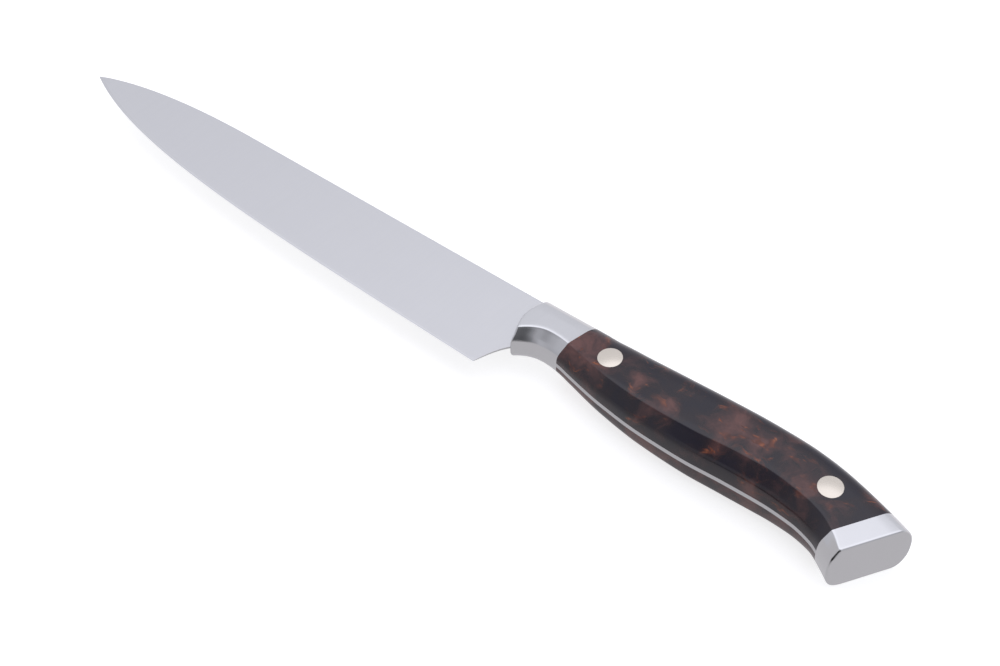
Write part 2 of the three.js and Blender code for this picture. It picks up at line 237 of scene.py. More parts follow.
@dataclass(frozen=True)
class GlossyBurl:
    """Resin-filled burl, sanded and buffed to a gloss: dark and cloudy, with flecks of red and orange."""

    name: str = "burl_resin_filled_buffed"
    # Lift of the ground towards its lighter, redder colours over the whole scale: painted light from the
    # floor, for the scale that faces it.
    floor_light_shift: float = 0.0
    cloud_size: float = 9.0
    fleck_length: float = 6.5
    fleck_width: float = 2.0
    speck_size: float = 1.8
    swirl_size: float = 8.0
    swirl_reach: float = 8.0
    # Place along and across the handle, reach and strength of each red patch.
    patches: tuple[tuple[float, float, float, float], ...] = (
        (15, -11, 6, 1), (19, -10, 8, 1), (24, -13, 5, 0.7), (32, -6, 5, 0.6), (38, -4, 4, 0.6),
        (36, -12, 5, 0.7), (47, -6, 5, 0.6), (45, -13, 4, 0.6), (40, -19, 4, 0.6), (60, -16, 4, 0.6),
        (61, -8, 8, 1), (69, -11, 7, 1), (68, -15, 4, 0.7), (73, -20, 5, 0.6), (78, -9, 5, 0.7),
        (81, -21, 5, 0.6), (85, -13, 5, 0.5), (94, -15, 4, 0.5), (100, -8, 5, 0.7),
    )
    patch_weight: float = 0.33
    # Further lift of the ground along the belly, between the two heights that follow: painted light from the
    # floor below.
    belly_floor_light: float = 0.06
    belly_span: Pair = (-18.4, -19.6)
    ground: Stops = (
        (0.44, "150f20"), (0.57, "21151e"), (0.68, "442a2b"), (0.84, "6c4540"),
    )
    fleck_span: Pair = (0.55, 0.66)
    fleck_strength: float = 2.4
    fleck_colours: Stops = ((0.4, "4c2620"), (0.55, "6a3524"), (0.72, "a25c38"))
    cloud_span: Pair = (0.3, 0.7)
    gloss: Pair = (0.14, 0.22)
    resin_ior: float = 1.51

    def material(self) -> Finish:
        """Makes the finish.

        Returns:
            Dark clouds with flecks in them, under a clear gloss.
        """
        material = bpy.data.materials.new(self.name)
        add = empty_tree(material)
        place = add("ShaderNodeTexCoord").outputs["Object"]
        size = add(
            "ShaderNodeMapping",
            {"Vector": place, "Location": tuple(-ORIGIN / MM), "Scale": (1 / MM, 1 / MM, 1 / MM)},
        )
        swirl = add("ShaderNodeTexNoise", {"Vector": size, "Scale": 1 / self.swirl_size, "Detail": 2})
        centred = add("ShaderNodeVectorMath", (swirl.outputs["Color"], (0.5, 0.5, 0.5)), operation="SUBTRACT")
        reaches = (self.swirl_reach,) * 3
        swept = add("ShaderNodeVectorMath", (centred, reaches, size), operation="MULTIPLY_ADD")
        flat = add("ShaderNodeVectorMath", (swept, (1, 1, 0)), operation="MULTIPLY")
        patch_share = None
        for x, y, reach, strength in self.patches:
            away = add("ShaderNodeVectorMath", (flat, (x, y, 0)), operation="DISTANCE")
            near = add("ShaderNodeMapRange", (away.outputs["Value"], reach, 0.0, 0.0, strength))
            if patch_share is not None:
                near = add("ShaderNodeMath", (near, patch_share), operation="MAXIMUM")
            patch_share = near
        clouds = add(
            "ShaderNodeTexNoise",
            {"Vector": swept, "Scale": 1 / self.cloud_size, "Detail": 4, "Roughness": 0.6},
        )
        mixed = add("ShaderNodeMath", (patch_share, self.patch_weight, clouds), operation="MULTIPLY_ADD")
        height = add("ShaderNodeSeparateXYZ", (size,)).outputs["Y"]
        # Painted light from the floor below: the ground is lifted towards its lighter, redder colours along
        # the belly, and over the whole of the floor-lit scale.
        reddest = self.floor_light_shift + self.belly_floor_light
        belly = add("ShaderNodeMapRange", (height, *self.belly_span, self.floor_light_shift, reddest))
        red = add("ShaderNodeMath", (mixed, belly), operation="ADD")
        ground = add("ShaderNodeValToRGB", (red,), self.ground)
        drawn = add(
            "ShaderNodeMapping",
            {"Vector": swept, "Scale": (1 / self.fleck_length, 1 / self.fleck_width, 1 / self.fleck_width)},
        )
        flecks = add("ShaderNodeTexNoise", {"Vector": drawn, "Scale": 1, "Detail": 3, "Roughness": 0.55})
        fleck_share = add("ShaderNodeMapRange", (flecks, *self.fleck_span, 0.0, self.fleck_strength))
        fleck_amount = add("ShaderNodeMath", (fleck_share, patch_share), operation="MULTIPLY", use_clamp=True)
        specks = add(
            "ShaderNodeTexNoise",
            {"Vector": swept, "Scale": 1 / self.speck_size, "Detail": 1, "Roughness": 0.4},
        )
        fleck_colour = add("ShaderNodeValToRGB", (specks,), self.fleck_colours)
        flecked = add("ShaderNodeMix", {0: fleck_amount, 6: ground, 7: fleck_colour}, data_type="RGBA")
        gloss = add("ShaderNodeMapRange", (clouds, *self.cloud_span, *self.gloss))
        shader = add(
            "ShaderNodeBsdfPrincipled",
            {"Base Color": flecked.outputs[2], "Roughness": gloss, "IOR": self.resin_ior},
        )
        add("ShaderNodeOutputMaterial", {"Surface": shader})
        return material


def towards(start: np.ndarray, goal: np.ndarray, distance: np.ndarray | float) -> np.ndarray:
    """Goes a given distance from one point towards another.

    Args:
        start: Points to leave.
        goal: Points to head for.
        distance: How far to go.

    Returns:
        The points that are reached.
    """
    way = goal - start
    return start + way / np.linalg.norm(way, axis=-1, keepdims=True) * np.reshape(distance, (-1, 1))


def straight(start: np.ndarray, end: np.ndarray, share: np.ndarray) -> np.ndarray:
    """Points on straight lines.

    Args:
        start: First points of the lines.
        end: Last points of the lines.
        share: How far along each line its points are, from 0 to 1.

    Returns:
        The points, by line and by share.
    """
    return start[:, None] + (end - start)[:, None] * share[..., None]


def curve(start: np.ndarray, pull: np.ndarray, end: np.ndarray, share: np.ndarray) -> np.ndarray:
    """Points on curves that are pulled towards a corner.

    Args:
        start: First points of the curves.
        pull: The corners that pull them.
        end: Last points of the curves.
        share: How far along each curve its points are, from 0 to 1.

    Returns:
        The points, by curve and by share.
    """
    near, far = straight(start, pull, share), straight(pull, end, share)
    return near * (1 - share)[..., None] + far * share[..., None]


@dataclass(frozen=True)
class SmoothLine:
    """A line through (place, size) points that doesn't swing past them.

    A place from 0 to 1 is on the bolster and from 1 to 2 on the grip.
    """

    points: tuple[Pair, ...]

    def at(self, x: np.ndarray) -> np.ndarray:
        """Reads the line.

        Args:
            x: Distances from the front of the bolster.

        Returns:
            The size at each of them.
        """
        places = np.array([min(p, 1) * BOLSTER_LENGTH + max(p - 1, 0) * GRIP_LENGTH for p, _ in self.points])
        sizes = np.array([size for _, size in self.points])
        rises = np.diff(sizes) / np.diff(places)
        both = rises[:-1] * rises[1:]
        inner = np.where(both > 0, 2 * both / np.where(both > 0, rises[:-1] + rises[1:], 1), 0)
        slopes = np.concatenate([rises[:1], inner, rises[-1:]])
        i = np.clip(np.searchsorted(places, x, side="right") - 1, 0, len(places) - 2)
        width = np.diff(places)[i]
        t = np.clip((x - places[i]) / width, 0, 1)
        s = 1 - t
        start = sizes[i] * (1 + 2 * t) + slopes[i] * width * t
        end = sizes[i + 1] * (1 + 2 * s) - slopes[i + 1] * width * s
        before = np.minimum(x - places[0], 0) * slopes[0]
        after = np.maximum(x - places[-1], 0) * slopes[-1]
        return start * s * s + end * t * t + before + after


@dataclass(frozen=True)
class Cut:
    """A cut across the handle: where it meets the line of the spine, how it leans, and its rim."""

    place: float
    lean: float = 0.0
    bow: float = 0.0
    inset: float = 0.0

    BOW_MIDDLE = -9.0
    BOW_REACH = 7.0

    def at(self, height: np.ndarray) -> np.ndarray:
        """Reads the cut.

        Args:
            height: Heights over the line of the spine.

        Returns:
            The distance from the front of the bolster at each of them.
        """
        away = np.clip((height - self.BOW_MIDDLE) / self.BOW_REACH, -1, 1)
        return self.place + self.lean * height - self.bow * np.cos(away * math.pi / 2) ** 2

    def moved(self, offset: float, inset: float = 0.0) -> "Cut":
        """The same cut moved square to itself, with its rim drawn in."""
        return replace(self, place=self.place + offset * math.hypot(1, self.lean), inset=inset)

    def steps_to(self, last: "Cut", count: int) -> list["Cut"]:
        """Cuts that turn evenly from this one into another.

        Args:
            last: The cut to end with.
            count: How many steps to take.

        Returns:
            The cuts, with this one and the last.
        """
        first, final = (np.array([c.place, c.lean, c.bow, c.inset]) for c in (self, last))
        return [Cut(*(first + (final - first) * t)) for t in np.linspace(0, 1, count + 1)]


@dataclass(frozen=True)
class HandleForm:
    """The outer shape that bolster, scales, tang and cap are ground to together."""

    bolster_slant: float = 16.0
    butt_slant: float = 33.6
    cap_length: float = 5.8
    back_flat: float = 0.3
    ridge_low_share: float = 0.3
    ridge_high_share: float = 1.3
    facet_rim_share: float = 1.0
    back_depth: SmoothLine = SmoothLine(
        (
            (0, 0), (1, 0.25), (1.08, 0.8), (1.15, 0.85), (1.27, 0.55), (1.4, 0.02), (1.53, -0.31),
            (1.6, -0.2), (1.66, 0.06), (1.72, 0.71), (1.78, 1.75), (1.94, 6), (2, 7.97),
        )
    )
    belly_depth: SmoothLine = SmoothLine(
        (
            (0, 17.2), (0.1, 15.95), (0.2, 15), (0.3, 14.36), (0.4, 14), (0.5, 13.9), (0.62, 14),
            (0.75, 14.3), (0.88, 14.75), (1, 15.3), (1.13, 18), (1.27, 19.6), (1.4, 19.95), (1.52, 19.45),
            (1.63, 19.25), (1.72, 19.85), (1.79, 21.55), (1.84, 24.3), (1.91, 28.9),
        )
    )
    facet_height: SmoothLine = SmoothLine(
        (
            (0, 3.5), (0.5, 3.8), (1, 3.8), (1.08, 3.45), (1.14, 3.2), (1.27, 3.65), (1.4, 4.4),
            (1.53, 4.92), (1.6, 4.95), (1.66, 4.5), (1.72, 3.95), (1.78, 3.65), (1.84, 3.5), (1.885, 2.7),
            (2, 2.7),
        )
    )
    half_thickness: SmoothLine = SmoothLine(
        ((0, 5.5), (1, 6.3), (1.045, 6.75), (1.14, 7.55), (1.3, 7.9), (2, 7.9))
    )
    belly_half_width: SmoothLine = SmoothLine(
        (
            (0, 3.3), (1, 3.4), (1.08, 3.75), (1.2, 4.4), (1.34, 5.2), (1.46, 5.65), (1.53, 5.8), (1.6, 5.7),
            (1.72, 4.9), (1.78, 4.55), (1.88, 4.8), (2, 4.8),
        )
    )
    belly_round: SmoothLine = SmoothLine(((0, 0.4), (1, 0.3), (1.74, 0.4), (1.82, 0.7), (2, 0.7)))
    corner_round: SmoothLine = SmoothLine(((0, 1.3), (1, 1.2), (1.2, 0.9), (1.75, 0.9), (1.9, 1.2), (2, 1.2)))
    back_width: SmoothLine = SmoothLine(((0, 5.2), (1, 5.6), (1.3, 6.3), (1.75, 6.6), (2, 7.3)))
    back_height: SmoothLine = SmoothLine(((0, 5.3), (1, 5.2), (1.3, 4.7), (1.75, 4.5), (2, 4.2)))
    ridge_round: SmoothLine = SmoothLine(
        ((0, 0.8), (1, 0.8), (1.2, 1.2), (1.5, 1.5), (1.7, 1.1), (1.84, 0.7), (2, 0.8))
    )

    # Sections that are worked out, and how far they run past both ends of the handle.
    SECTIONS = 1200
    FRONT_SPARE = 4.0
    BUTT_SPARE = 8.0
    # Steps along each stretch of a half section, from the belly to the back.
    BELLY_STEPS = 8
    CORNER_STEPS = 7
    FACET_STEPS = 4
    RIDGE_STEPS = 8
    SIDE_STEPS = 6
    TURN_STEPS = 14
    BACK_STEPS = 2
    # Points of a half section between which the facet's rim widens, stays wide and narrows.
    FACET_POINTS = (11, 15, 21, 24)

    def slanted_cut(self, x: float, degrees: float) -> Cut:
        """Makes a flat cut through the handle.

        Args:
            x: Where it meets the back.
            degrees: Slant against square.

        Returns:
            The cut.
        """
        lean = math.tan(math.radians(degrees))
        return Cut(x + float(self.back_depth.at(np.array(x))) * lean, lean)

    def joint(self) -> Cut:
        """The joint of bolster and scales."""
        return self.slanted_cut(BOLSTER_LENGTH, self.bolster_slant)

    def butt(self) -> Cut:
        """The end face of the butt."""
        return self.slanted_cut(HANDLE_LENGTH, self.butt_slant)

    def cap_joint(self) -> Cut:
        """The joint of scales and butt cap."""
        return self.butt().moved(-self.cap_length)

    def half_sections(self, x: np.ndarray, inner: float) -> np.ndarray:
        """Draws the left half of the sections, from the belly over the side to the back.

        Args:
            x: Distances of the sections from the front of the bolster.
            inner: Height over the middle of the plate where each half starts and ends.

        Returns:
            Height over the spine's line and over the plate's middle, by section and by point.
        """
        belly, back = -self.belly_depth.at(x), -self.back_depth.at(x)
        half, fall = self.half_thickness.at(x), self.back_height.at(x)
        turn = np.minimum(self.back_width.at(x), half - self.back_flat)
        ridge = np.stack([belly + self.facet_height.at(x), half], -1)
        corner = np.stack([belly + self.belly_round.at(x), self.belly_half_width.at(x)], -1)
        middle = np.stack([belly, 0 * belly], -1)
        pull = np.stack([belly, corner[:, 1] / 2], -1)
        corner_ease = self.corner_round.at(x)
        belly_side = towards(corner, pull, corner_ease)
        facet_side = towards(corner, ridge, corner_ease)
        ease = self.ridge_round.at(x)
        ridge_low = towards(ridge, facet_side, ease * self.ridge_low_share)
        ridge_high = ridge + np.stack([ease * self.ridge_high_share, 0 * ease], -1)
        shortfall = corner[:, 1] - belly_side[:, 1]
        start = (corner[:, 1] - np.sqrt(corner[:, 1] ** 2 - 4 * shortfall * inner)) / (2 * shortfall)
        belly_share = start[:, None] + (1 - start)[:, None] * np.linspace(0, 1, self.BELLY_STEPS + 1)
        angle = np.linspace(0, math.pi / 2, self.TURN_STEPS + 1)
        rounding = np.stack(
            [
                back[:, None] + fall[:, None] * (np.sin(angle) - 1),
                half[:, None] + turn[:, None] * (np.cos(angle) - 1),
            ],
            -1,
        )
        end = np.stack([back, 0 * back + inner], -1)

        def steps(count: int) -> np.ndarray:
            """Even shares from just after 0 to 1."""
            return np.tile(np.linspace(0, 1, count + 1)[1:], (len(x), 1))

        return np.concatenate(
            [
                curve(middle, pull, belly_side, belly_share),
                curve(belly_side, corner, facet_side, steps(self.CORNER_STEPS)),
                straight(facet_side, ridge_low, steps(self.FACET_STEPS)),
                curve(ridge_low, ridge, ridge_high, steps(self.RIDGE_STEPS)),
                straight(ridge_high, rounding[:, 0], steps(self.SIDE_STEPS)),
                rounding[:, 1:],
                straight(rounding[:, -1], end, steps(self.BACK_STEPS)),
            ],
            axis=1,
        )

    def half_rings(self, cuts: Sequence[Cut], inner: float) -> np.ndarray:
        """Finds where cuts go through the left half of the outer shape.

        Args:
            cuts: The cuts.
            inner: Height over the middle of the plate where each half starts and ends.

        Returns:
            Points in the drawing, by cut and by point.
        """
        x = np.linspace(-self.FRONT_SPARE, HANDLE_LENGTH + self.BUTT_SPARE, self.SECTIONS)
        sections = self.half_sections(x, inner)
        point = np.arange(sections.shape[1])
        wide = self.facet_rim_share
        shares = np.interp(point, self.FACET_POINTS, (1, wide, wide, 1))[:, None]
        rings = []
        for cut in cuts:
            beyond = x[:, None] - cut.at(sections[..., 0])
            after = np.argmax(beyond > 0, axis=0)
            before = after - 1
            share = beyond[before, point] / (beyond[before, point] - beyond[after, point])
            last, following = sections[before, point], sections[after, point]
            flat = last + share[:, None] * (following - last)
            if cut.inset:
                stretch = np.array([math.hypot(1, cut.lean), 1])
                along = np.gradient(flat * stretch, axis=0)
                along /= np.linalg.norm(along, axis=1, keepdims=True)
                inward = np.stack([along[:, 1], -along[:, 0]], -1)
                flat = flat + cut.inset * shares * inward / stretch
            rings.append(np.column_stack([cut.at(flat[:, 0]), flat]))
        return np.stack(rings)


def both_halves(left: np.ndarray, right: np.ndarray | None = None) -> np.ndarray:
    """Adds right halves to left halves that start and end in the middle.

    Args:
        left: Points of the left halves.
        right: Points of the right halves before they are mirrored, where they differ from the left.

    Returns:
        Whole rings.
    """
    other = left if right is None else right
    return np.concatenate([left, other[:, -2:0:-1] * np.array([1, 1, -1])], axis=1)


def rim(cut: Cut, radius: float, inward: float) -> list[Cut]:
    """Cuts that round the rim at one end of a piece, from the end face to the full section.

    Args:
        cut: The end face.
        radius: Radius of the rounding.
        inward: 1 where the piece lies behind the face, towards the butt, and -1 where it lies ahead.

    Returns:
        The cuts, the end face first.
    """
    angles = np.linspace(0, math.pi / 2, RIM_STEPS + 1)
    return [cut.moved(inward * radius * (1 - math.cos(a)), radius * (1 - math.sin(a))) for a in angles]


def deselect() -> None:
    """Leaves edit mode and deselects every object."""
    if bpy.context.object and bpy.context.object.mode != "OBJECT":
        bpy.ops.object.mode_set(mode="OBJECT")
    bpy.ops.object.select_all(action="DESELECT")


def pick(piece: Piece) -> None:
    """Makes a piece the only selected one, and the active one.

    Args:
        piece: The piece.
    """
    deselect()
    piece.select_set(True)
    bpy.context.view_layer.objects.active = piece


def edit(piece: Piece) -> bmesh.types.BMesh:
    """Opens a piece in edit mode with nothing selected.

    Args:
        piece: The piece.

    Returns:
        Its mesh, open for selecting.
    """
    pick(piece)
    bpy.ops.object.mode_set(mode="EDIT")
    bpy.ops.mesh.select_mode(type="FACE")
    bpy.ops.mesh.select_all(action="DESELECT")
    return bmesh.from_edit_mesh(piece.data)


def select_faces(piece: Piece, wanted: Callable[[bmesh.types.BMFace], bool]) -> None:
    """Opens a piece in edit mode with some of its faces selected.

    Args:
        piece: The piece.
        wanted: Tells which faces to select.
    """
    mesh = edit(piece)
    for face in mesh.faces:
        face.select_set(wanted(face))
    bmesh.update_edit_mesh(piece.data)


def drawn_bar(name: str, rings: np.ndarray) -> Piece:
    """Draws a round bar out through a row of rings.

    The bar starts as a cylinder with a side for each point of a ring. Its length is cut into as many
    steps as there are rings, and each step takes the shape of its ring.

    Args:
        name: Name of the piece.
        rings: Points in the drawing, by ring and by point.

    Returns:
        The closed piece.
    """
    count, sides, _ = rings.shape
    deselect()
    bpy.ops.mesh.primitive_cylinder_add(vertices=sides, radius=1, depth=2, end_fill_type="NGON")
    bar = bpy.context.object
    bar.name = bar.data.name = name
    mesh = edit(bar)
    bpy.ops.mesh.select_mode(type="EDGE")
    for edge in mesh.edges:
        edge.select_set(abs(edge.verts[0].co.z - edge.verts[1].co.z) > 1)
    bmesh.update_edit_mesh(bar.data)
    bpy.ops.mesh.subdivide_edgering(number_cuts=count - 2, interpolation="LINEAR")
    deselect()
    spots = np.zeros(len(bar.data.vertices) * 3)
    bar.data.vertices.foreach_get("co", spots)
    spots = spots.reshape(-1, 3)
    step = np.rint((spots[:, 2] + 1) / 2 * (count - 1)).astype(int)
    turn = np.rint(np.arctan2(-spots[:, 0], spots[:, 1]) / (2 * math.pi) * sides).astype(int) % sides
    placed = rings[step, turn] * MM + ORIGIN
    bar.data.vertices.foreach_set("co", placed.ravel())
    edit(bar)
    bpy.ops.mesh.select_all(action="SELECT")
    bpy.ops.mesh.remove_doubles(threshold=MERGE_DISTANCE)
    bpy.ops.mesh.normals_make_consistent(inside=False)
    deselect()
    return bar


def smooth(piece: Piece, degrees: float) -> None:
    """Shades a piece smooth, apart from edges sharper than an angle.

    Args:
        piece: The piece.
        degrees: The angle.
    """
    pick(piece)
    bpy.ops.object.shade_smooth_by_angle(angle=math.radians(degrees), keep_sharp_edges=False)


def polished_bar(name: str, rings: np.ndarray) -> Piece:
    """Draws a bar with smooth sides and rims, and flat ends that are shaded apart from them.

    Args:
        name: Name of the piece.
        rings: Points in the drawing, by ring and by point.

    Returns:
        The piece.
    """
    bar = drawn_bar(name, rings)
    smooth(bar, RIM_ANGLE)
    select_faces(bar, lambda face: len(face.verts) > 4)
    bpy.ops.mesh.region_to_loop()
    bpy.ops.mesh.mark_sharp()
    deselect()
    return bar


def disc(radius: float, spot: Pair, low: float, high: float) -> Piece:
    """Adds a round disc that lies flat on the knife.

    Args:
        radius: Its radius.
        spot: Its distance from the bolster's front and height over the spine's line.
        low: Height of its underside over the middle of the plate.
        high: Height of its top.

    Returns:
        The disc.
    """
    place = np.array([*spot, (low + high) / 2]) * MM + ORIGIN
    deselect()
    bpy.ops.mesh.primitive_cylinder_add(
        vertices=ROUND_SIDES, radius=radius * MM, depth=(high - low) * MM, location=tuple(place)
    )
    bpy.ops.object.transform_apply(location=True, rotation=True, scale=True)
    return bpy.context.object


def mirrored(piece: Piece, name: str) -> Piece:
    """Copies a piece to the other side of the plate.

    Args:
        piece: The piece.
        name: Name of the copy.

    Returns:
        The copy, with its own mesh.
    """
    copy = piece.copy()
    copy.data = piece.data.copy()
    copy.name = copy.data.name = name
    bpy.context.collection.objects.link(copy)
    middle = Matrix.Translation((0, 0, ORIGIN[2]))
    copy.data.transform(middle @ Matrix.Diagonal((1, 1, -1, 1)) @ middle.inverted())
    copy.data.flip_normals()
    return copy


def dress(piece: Piece, material: Finish, nodes: Sequence[str]) -> None:
    """Gives a piece its finish and its place in the model.

    Args:
        piece: The piece.
        material: Its finish.
        nodes: The solids that the piece stands for.
    """
    piece.data.materials.clear()
    piece.data.materials.append(material)
    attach(piece, BODY)
    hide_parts(*nodes)
    LOG.info("%s: %d faces, stands for %s", piece.name, len(piece.data.polygons), ", ".join(nodes))


@dataclass
class Plate:
    """The blade and its full tang, cut from one plate and ground to one angle from spine to bevel."""

    form: HandleForm
    finish: Finish
    blade_length: float = 154.8
    heel: Pair = (-4.9, -25.9)
    point_drop: float = 7.5
    spine_fall: float = 53.2
    point_spine_angle: float = 23.4
    point_edge_angle: float = 29.1
    point_edge_pull: float = 30.7
    heel_edge_angle: float = 1.8
    heel_edge_pull: float = 73.5
    notch_heel_angle: float = 70.0
    notch_bolster_angle: float = 48.0
    bolster_easing: float = 0.6
    bevel_height: float = 0.8
    bevel_half: float = 0.15
    spine_easing: float = 0.15
    point_share: float = 0.3
    easing_turn: float = 0.3
    least_face: float = 0.02
    face_points: int = 8
    spine_points: int = 400
    edge_points: int = 600
    tang_margin: float = 0.02
    buried: float = 0.6
    root_reach: float = 0.4
    tang_start: float = 1.0
    blade_steps: int = 90
    point_crowding: float = 1.6
    notch_steps: int = 24
    root_steps: int = 4
    tang_steps: int = 90
    crease: float = 5.0

    def spine(self, x: np.ndarray) -> np.ndarray:
        """Draws the spine.

        Args:
            x: Places along the blade.

        Returns:
            Its height at each of them.
        """
        turn = np.array([self.spine_fall - self.blade_length, 0.0])
        point = np.array([-self.blade_length, -self.point_drop])
        pull = np.array([point[0] + self.point_drop / math.tan(math.radians(self.point_spine_angle)), 0.0])
        share = np.linspace(0, 1, self.spine_points)[None]
        line = curve(turn[None], pull[None], point[None], share)[0]
        return np.where(x < turn[0], np.interp(x, line[::-1, 0], line[::-1, 1]), 0.0)

    def edge(self, x: np.ndarray) -> np.ndarray:
        """Draws the cutting edge.

        Args:
            x: Places along the blade.

        Returns:
            Its height at each of them.
        """
        heel, point = np.array(self.heel), np.array([-self.blade_length, -self.point_drop])
        heel_turn, point_turn = math.radians(self.heel_edge_angle), math.radians(self.point_edge_angle)
        heel_pull = heel + self.heel_edge_pull * np.array([-math.cos(heel_turn), math.sin(heel_turn)])
        point_pull = point + self.point_edge_pull * np.array([math.cos(point_turn), -math.sin(point_turn)])
        t = np.linspace(0, 1, self.edge_points)[:, None]
        s = 1 - t
        line = heel * s**3 + heel_pull * 3 * s * s * t + point_pull * 3 * s * t * t + point * t**3
        return np.where(x < heel[0], np.interp(x, line[::-1, 0], line[::-1, 1]), heel[1])

    def notch(self) -> np.ndarray:
        """Draws the heel notch.

        Returns:
            Its points, from the heel to the bolster.
        """
        heel = np.array(self.heel)
        guard = np.array([0.0, self.bolster_easing - float(self.form.belly_depth.at(np.array(0.0)))])
        leave, arrive = math.radians(self.notch_heel_angle), math.radians(self.notch_bolster_angle)
        way = guard - heel
        reach = (way[0] * math.sin(arrive) - way[1] * math.cos(arrive)) / math.sin(arrive - leave)
        pull = heel + reach * np.array([math.cos(leave), math.sin(leave)])
        return curve(heel[None], pull[None], guard[None], np.linspace(0, 1, self.notch_steps + 1)[None])[0]

    def blade_ring(self, x: float, bottom: float | None = None) -> np.ndarray:
        """Draws the left half of one section of the blade.

        Args:
            x: Place along the blade.
            bottom: Height where the notch cuts the section off, if it does.

        Returns:
            Points of the half section, from the middle of the bottom to the middle of the spine.
        """
        spine, edge = float(self.spine(np.array(x))), float(self.edge(np.array(x)))
        height = spine - edge
        bevel = min(self.bevel_height, height * self.point_share)
        bevel_side = self.bevel_half * bevel / self.bevel_height
        grind = (PLATE_HALF - self.bevel_half) / (-self.heel[1] - self.bevel_height)

        def side(y: float) -> float:
            """Half thickness of the blade at a height."""
            over = y - edge - bevel
            return bevel_side + grind * over if over > 0 else bevel_side * (y - edge) / bevel

        low = edge if bottom is None else bottom
        bevel_top = max(edge + bevel, low + self.least_face)
        top_side = side(spine)
        easing = min(self.spine_easing, top_side * self.point_share)
        face = np.linspace(bevel_top, spine - easing, self.face_points)
        points = [(low, 0.0), (low, side(low)), *((y, side(y)) for y in face)]
        turn = easing * self.easing_turn
        points += [(spine - turn, top_side - turn), (spine, top_side - easing), (spine, 0.0)]
        return np.array([(x, y, z) for y, z in points])

    def tang_rings(self, cuts: Sequence[Cut], buried: float) -> np.ndarray:
        """Draws the left halves of sections of the tang.

        Args:
            cuts: Where the sections are.
            buried: How far top and bottom stay under the handle's outer shape.

        Returns:
            Points of the half sections, from the middle of the bottom to the middle of the back.
        """
        halves = self.form.half_rings(cuts, PLATE_HALF)
        low, high = halves[:, 0].copy(), halves[:, -1].copy()
        low[:, 1] += buried
        high[:, 1] -= buried
        flat = np.array([1, 1, 0])
        face = np.linspace(self.tang_margin, 1 - self.tang_margin, self.face_points)
        shares = np.concatenate([[0.0], face, [1 - self.tang_margin / 2, 1.0]])
        side = straight(low, high, np.tile(shares, (len(low), 1)))
        return np.concatenate([(low * flat)[:, None], side, (high * flat)[:, None]], axis=1)

    def build(self) -> Piece:
        """Builds the plate from the point to the tail.

        Returns:
            The piece.
        """
        reach = self.blade_length + self.heel[0]
        shares = np.linspace(0, 1, self.blade_steps + 1)[1:] ** self.point_crowding
        blade = [self.blade_ring(-self.blade_length + reach * s) for s in shares]
        notch = [self.blade_ring(x, y) for x, y in self.notch()[1:]]
        root = self.blade_ring(self.root_reach, float(self.notch()[-1, 1]))
        tip = np.tile([-self.blade_length, -self.point_drop, 0.0], (len(root), 1))
        joint, cap = self.form.joint(), self.form.cap_joint()
        inside = self.tang_rings(Cut(self.tang_start).steps_to(joint, self.root_steps), self.buried)
        tail = self.tang_rings(joint.steps_to(cap, self.tang_steps), 0.0)
        halves = np.concatenate([np.stack([tip, *blade, *notch, root]), inside, tail])
        plate = drawn_bar("blade_plate", both_halves(halves))
        smooth(plate, self.crease)
        return plate

    def dress(self, plate: Piece) -> None:
        """Dresses the plate."""
        dress(plate, self.finish, ["blade_and_tang"])


@dataclass
class Bolster:
    """Both bolster halves, welded to the plate and polished over, so that they show as one piece."""

    form: HandleForm
    finish: Finish
    rim_round: float = 0.6
    front_bow: float = 1.35
    steps: int = 44

    def build(self) -> Piece:
        """Builds the bolster with its eased front rim.

        Returns:
            The piece.
        """
        front = Cut(0.0, bow=self.front_bow)
        cuts = rim(front, self.rim_round, 1)
        cuts += cuts[-1].steps_to(self.form.joint(), self.steps)[1:]
        return polished_bar("bolster_polished", both_halves(self.form.half_rings(cuts, 0.0)))

    def dress(self, bolster: Piece) -> None:
        """Dresses the bolster."""
        dress(bolster, self.finish, ["bolster_left", "bolster_right"])


@dataclass
class ButtCap:
    """The solid steel cap on the tail of the tang."""

    form: HandleForm
    finish: Finish
    rim_round: float = 0.5
    facet_rim_share: float = 2.2
    worn_ridge: SmoothLine = SmoothLine(((1.785, 0.8), (1.815, 1.5), (1.845, 2.4), (2, 2.4)))
    worn_low_share: float = 1.0
    worn_high_share: float = 1.7
    steps: int = 14

    def build(self) -> Piece:
        """Builds the cap, its end rim eased and wider on the left facet, its right ridge rounded off.

        Returns:
            The piece.
        """
        end = rim(self.form.butt(), self.rim_round, -1)[::-1]
        cuts = self.form.cap_joint().steps_to(end[0], self.steps) + end[1:]
        worn = replace(
            self.form,
            ridge_round=self.worn_ridge,
            ridge_low_share=self.worn_low_share,
            ridge_high_share=self.worn_high_share,
        )
        eased = replace(self.form, facet_rim_share=self.facet_rim_share)
        halves = eased.half_rings(cuts, 0.0), worn.half_rings(cuts, 0.0)
        return polished_bar("butt_cap_polished", both_halves(*halves))

    def dress(self, cap: Piece) -> None:
        """Dresses the cap."""
        dress(cap, self.finish, ["butt_cap"])


